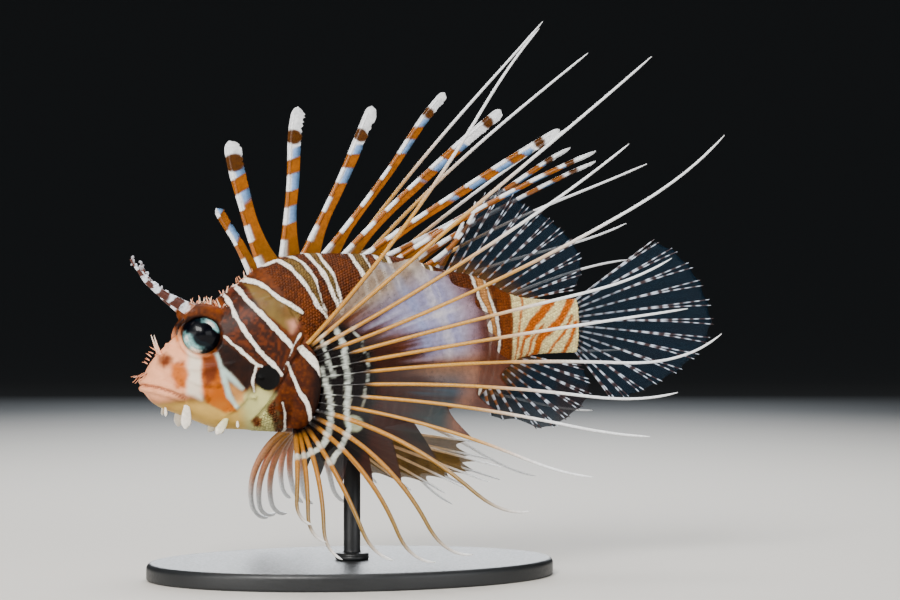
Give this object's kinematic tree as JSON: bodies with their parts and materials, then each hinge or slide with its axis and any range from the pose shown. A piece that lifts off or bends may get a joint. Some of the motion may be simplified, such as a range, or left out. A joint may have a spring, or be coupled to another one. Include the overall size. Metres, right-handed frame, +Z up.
{
  "type": "spotfin lionfish model on a display stand",
  "caption": "Still life-size spotfin lionfish with spread pectoral fins and raised spines, held on a flat stand by one rod.",
  "frame": {"origin": "centre of the stand base's underside", "axes": "+Z up, -X towards the snout, +X towards the tail tip, +Y towards the fish's right flank"},
  "size_m": [0.1815, 0.112, 0.17],
  "materials": {
    "skin": "banded red-brown and cream skin with fine scales",
    "fin": "thin dark fin skin with cream and ochre rays",
    "eye": "glossy eye with a dark band",
    "stand": "satin dark powder coat"
  },
  "bodies": {
    "root": {"head": "skin", "lower_jaw": "skin", "trunk": "skin", "tail_stem": "skin", "pectoral_base_left": "skin", "pectoral_base_right": "skin", "eye_left": "eye", "eye_right": "eye", "tentacle_left": "skin", "tentacle_right": "skin", "pectoral_fin_left": "fin", "pectoral_fin_right": "fin", "pelvic_fin_left": "fin", "pelvic_fin_right": "fin", "spiny_dorsal_fin": "fin", "soft_dorsal_fin": "fin", "anal_fin": "fin", "caudal_fin": "fin", "stand_base": "stand", "stand_rod": "stand"}
  },
  "joints": []
}
